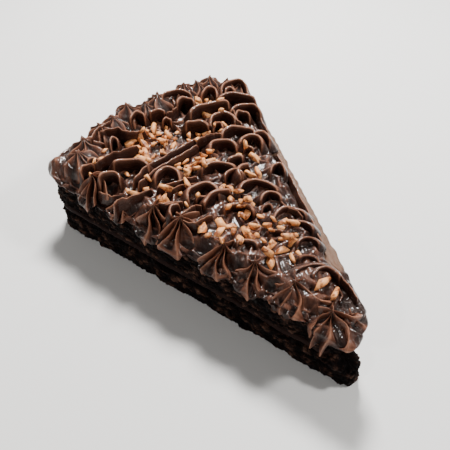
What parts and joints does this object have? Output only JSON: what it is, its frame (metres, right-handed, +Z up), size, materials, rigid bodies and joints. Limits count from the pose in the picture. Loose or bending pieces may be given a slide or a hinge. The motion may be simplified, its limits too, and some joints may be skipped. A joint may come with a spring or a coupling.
{
  "type": "slice of frosted brownie cake",
  "caption": "Wedge slice of dark brownie cake: two crumb layers with a thin filling, topped with chocolate frosting piped in stars and curls.",
  "frame": {"origin": "middle of the bounding box, on the surface the slice stands on", "axes": "+X towards the tip of the slice, +Y towards the cut side with the flat frosting ledge, +Z up"},
  "size_m": [0.1444, 0.1008, 0.0393],
  "materials": {
    "lower_crumb": "moist dark chocolate crumb, torn and porous, nearly matt with small fudgy glints",
    "filling": "smooth dark chocolate filling with a soft gloss",
    "upper_crumb": "moist dark chocolate crumb, torn and porous, nearly matt with small fudgy glints",
    "frosting": "piped chocolate frosting, satin to glossy, paler warm brown along its thin crests",
    "flakes": "small tan flakes with rounded edges and a waxy surface"
  },
  "bodies": {
    "root": {"brownie_lower": "lower_crumb", "filling": "filling", "brownie_upper": "upper_crumb", "frosting": "frosting"}
  },
  "joints": []
}
